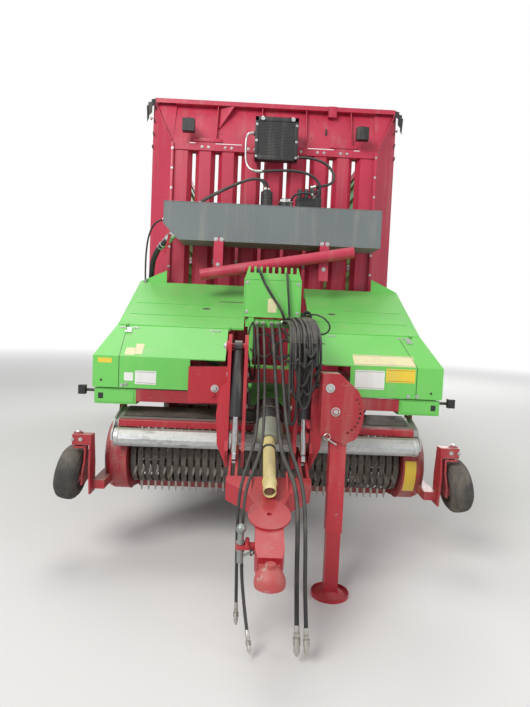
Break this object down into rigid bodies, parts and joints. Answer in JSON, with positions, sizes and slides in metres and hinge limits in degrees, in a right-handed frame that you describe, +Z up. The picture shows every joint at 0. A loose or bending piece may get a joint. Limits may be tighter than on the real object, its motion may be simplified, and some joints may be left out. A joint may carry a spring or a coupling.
{
  "type": "self-loading forage wagon",
  "caption": "Farm trailer with a pickup reel, feed rotor and high open load body on tandem axles, with a drawbar, support leg and rear gate.",
  "frame": {"origin": "on the ground under the middle of the whole length, on the centre plane", "axes": "+Z up, the front with the coupling faces -Y, +X is to the right in the picture, which looks at the front from -Y"},
  "size_m": [2.9268, 8.6, 3.79],
  "materials": {
    "tyre": "satin",
    "rim_paint": "satin",
    "frame_red": "satin",
    "bright_red": "satin",
    "worn_red": "worn",
    "body_red": "satin",
    "side_green": "satin",
    "cover_green": "satin",
    "tank_grey": "satin",
    "dark_steel": "satin",
    "red_rotor": "satin",
    "zinc": "dull",
    "cylinder_black": "satin",
    "chrome_rod": "polished",
    "tine_steel": "dull",
    "band_black": "satin",
    "guard_yellow": "matt",
    "floor_wood": "oiled",
    "black_plastic": "matt",
    "hose_rubber": "matt",
    "fitting_steel": "dull"
  },
  "bodies": {
    "wagon": {"axles": "dark_steel", "body_posts": "body_red", "feed_channel": "dark_steel", "fixed_hoses": "hose_rubber", "front_wall": "body_red", "gearbox": "cover_green", "hose_cabinet": "cover_green", "hose_coil": "hose_rubber", "hose_couplings": "fitting_steel", "hose_left_inner": "hose_rubber", "hose_left_outer": "hose_rubber", "hose_right_inner": "hose_rubber", "hose_right_outer": "hose_rubber", "lamps": "black_plastic", "leg_bracket": "frame_red", "load_floor": "floor_wood", "main_frame": "frame_red", "oil_tank": "tank_grey", "scraper_floor": "dark_steel", "side_walls": "side_green", "springs": "dark_steel", "tank_brackets": "body_red", "tank_fittings": "black_plastic", "towers": "bright_red", "upper_covers": "cover_green", "upper_panel": "body_red"},
    "wheel_front_left": {"tyre_front_left": "tyre", "rim_front_left": "rim_paint"},
    "wheel_front_right": {"tyre_front_right": "tyre", "rim_front_right": "rim_paint"},
    "wheel_rear_left": {"tyre_rear_left": "tyre", "rim_rear_left": "rim_paint"},
    "wheel_rear_right": {"tyre_rear_right": "tyre", "rim_rear_right": "rim_paint"},
    "drawbar_arm": {"drawbar": "bright_red", "ball_coupling": "worn_red", "drawbar_fittings": "bright_red"},
    "ram_barrels": {"drawbar_barrels": "cylinder_black"},
    "ram_rods": {"drawbar_rods": "chrome_rod"},
    "shaft_guard": {"pto_guard": "guard_yellow"},
    "drive_shaft": {"pto_shaft": "tine_steel"},
    "support_leg": {"leg_tube": "bright_red"},
    "support_foot": {"leg_foot": "bright_red"},
    "pickup": {"pickup_frame": "frame_red", "stripper_bands": "band_black"},
    "reel": {"pickup_reel": "tine_steel"},
    "guard_arms": {"crop_guard": "zinc"},
    "roller": {"crop_roller": "zinc"},
    "castor_arm_left": {"castor_left": "frame_red"},
    "castor_arm_right": {"castor_right": "frame_red"},
    "gauge_left": {"gauge_wheel_left": "tyre"},
    "gauge_right": {"gauge_wheel_right": "tyre"},
    "rotor": {"feed_rotor": "red_rotor"},
    "knives": {"knife_bank": "dark_steel"},
    "cover_left": {"lid_left": "cover_green"},
    "cover_right": {"lid_right": "cover_green"},
    "gate": {"tailgate": "body_red"},
    "gate_ram_barrels": {"gate_barrels": "cylinder_black"},
    "gate_ram_rods": {"gate_rods": "chrome_rod"}
  },
  "joints": [
    {"name": "wheel_spin_front_left", "type": "hinge", "parent": "wagon", "child": "wheel_front_left", "pos_m": [-0.975, 0.8, 0.585], "axis": [1, 0, 0], "continuous": true},
    {"name": "wheel_spin_front_right", "type": "hinge", "parent": "wagon", "child": "wheel_front_right", "pos_m": [0.975, 0.8, 0.585], "axis": [1, 0, 0], "continuous": true},
    {"name": "wheel_spin_rear_left", "type": "hinge", "parent": "wagon", "child": "wheel_rear_left", "pos_m": [-0.975, 2.3, 0.585], "axis": [1, 0, 0], "continuous": true},
    {"name": "wheel_spin_rear_right", "type": "hinge", "parent": "wagon", "child": "wheel_rear_right", "pos_m": [0.975, 2.3, 0.585], "axis": [1, 0, 0], "continuous": true},
    {"name": "drawbar_tilt", "type": "hinge", "parent": "wagon", "child": "drawbar_arm", "pos_m": [0, -3.18, 0.85], "axis": [1, 0, 0], "range_deg": [-12, 6]},
    {"name": "ram_tilt", "type": "hinge", "parent": "wagon", "child": "ram_barrels", "pos_m": [0, -3.255, 1.565], "axis": [1, 0, 0], "range_deg": [-0.3, 0.3]},
    {"name": "ram_stroke", "type": "slide", "parent": "ram_barrels", "child": "ram_rods", "axis": [0, -0.1546, -0.988], "range_m": [-0.045, 0.025]},
    {"name": "shaft_tilt", "type": "hinge", "parent": "wagon", "child": "shaft_guard", "pos_m": [0, -2.9, 1.15], "axis": [1, 0, 0], "range_deg": [-8, 4]},
    {"name": "shaft_spin", "type": "hinge", "parent": "shaft_guard", "child": "drive_shaft", "pos_m": [0, -2.9, 1.15], "axis": [0, -0.9226, -0.3856], "continuous": true},
    {"name": "leg_swing", "type": "hinge", "parent": "wagon", "child": "support_leg", "pos_m": [0.4, -3.4, 1.195], "axis": [0, 1, 0], "range_deg": [-85, 0]},
    {"name": "foot_lift", "type": "slide", "parent": "support_leg", "child": "support_foot", "axis": [0, 0, 1], "range_m": [0, 0.35]},
    {"name": "pickup_lift", "type": "hinge", "parent": "wagon", "child": "pickup", "pos_m": [0, -2, 0.86], "axis": [1, 0, 0], "range_deg": [0, 25.5]},
    {"name": "reel_spin", "type": "hinge", "parent": "pickup", "child": "reel", "pos_m": [0, -2.665, 0.7], "axis": [1, 0, 0], "continuous": true},
    {"name": "guard_float", "type": "hinge", "parent": "pickup", "child": "guard_arms", "pos_m": [0, -2.64, 1.05], "axis": [1, 0, 0], "range_deg": [-6, 0]},
    {"name": "roller_spin", "type": "hinge", "parent": "guard_arms", "child": "roller", "pos_m": [0, -2.99, 0.883], "axis": [1, 0, 0], "continuous": true},
    {"name": "castor_swivel_left", "type": "hinge", "parent": "pickup", "child": "castor_arm_left", "pos_m": [-1.3, -3.07, 0.86], "axis": [0, 0, 1], "range_deg": [-12, 12]},
    {"name": "castor_swivel_right", "type": "hinge", "parent": "pickup", "child": "castor_arm_right", "pos_m": [1.3, -3.07, 0.86], "axis": [0, 0, 1], "range_deg": [-12, 12]},
    {"name": "gauge_spin_left", "type": "hinge", "parent": "castor_arm_left", "child": "gauge_left", "pos_m": [-1.362, -2.985, 0.62], "axis": [-0.9848, 0, 0.1736], "continuous": true},
    {"name": "gauge_spin_right", "type": "hinge", "parent": "castor_arm_right", "child": "gauge_right", "pos_m": [1.362, -2.985, 0.62], "axis": [0.9848, 0, 0.1736], "continuous": true},
    {"name": "rotor_spin", "type": "hinge", "parent": "wagon", "child": "rotor", "pos_m": [0, -2, 0.86], "axis": [1, 0, 0], "continuous": true},
    {"name": "knife_swing", "type": "hinge", "parent": "wagon", "child": "knives", "pos_m": [0, -1.85, 0.465], "axis": [1, 0, 0], "range_deg": [0, 3]},
    {"name": "lid_swing_left", "type": "hinge", "parent": "wagon", "child": "cover_left", "pos_m": [0, -2.56, 1.665], "axis": [1, 0, 0], "range_deg": [-60, 0]},
    {"name": "lid_swing_right", "type": "hinge", "parent": "wagon", "child": "cover_right", "pos_m": [0, -2.56, 1.665], "axis": [1, 0, 0], "range_deg": [-60, 0]},
    {"name": "gate_swing", "type": "hinge", "parent": "wagon", "child": "gate", "pos_m": [0, 4.2, 3.75], "axis": [1, 0, 0], "range_deg": [0, 75]},
    {"name": "gate_ram_tilt", "type": "hinge", "parent": "wagon", "child": "gate_ram_barrels", "pos_m": [0, 3.5, 3.4], "axis": [1, 0, 0], "range_deg": [-1, 26.5]},
    {"name": "gate_ram_stroke", "type": "slide", "parent": "gate_ram_barrels", "child": "gate_ram_rods", "axis": [0, 0.963, -0.2694], "range_m": [-0.01, 0.52]}
  ],
  "couplings": [
    {"joint": "ram_tilt", "follows": "drawbar_tilt", "ratio": 0.010117},
    {"joint": "ram_stroke", "follows": "drawbar_tilt", "m_per_rad": 0.18451},
    {"joint": "shaft_tilt", "follows": "drawbar_tilt", "ratio": 0.65},
    {"joint": "gate_ram_tilt", "follows": "gate_swing", "ratio": 0.34431},
    {"joint": "gate_ram_stroke", "follows": "gate_swing", "m_per_rad": 0.39153}
  ]
}
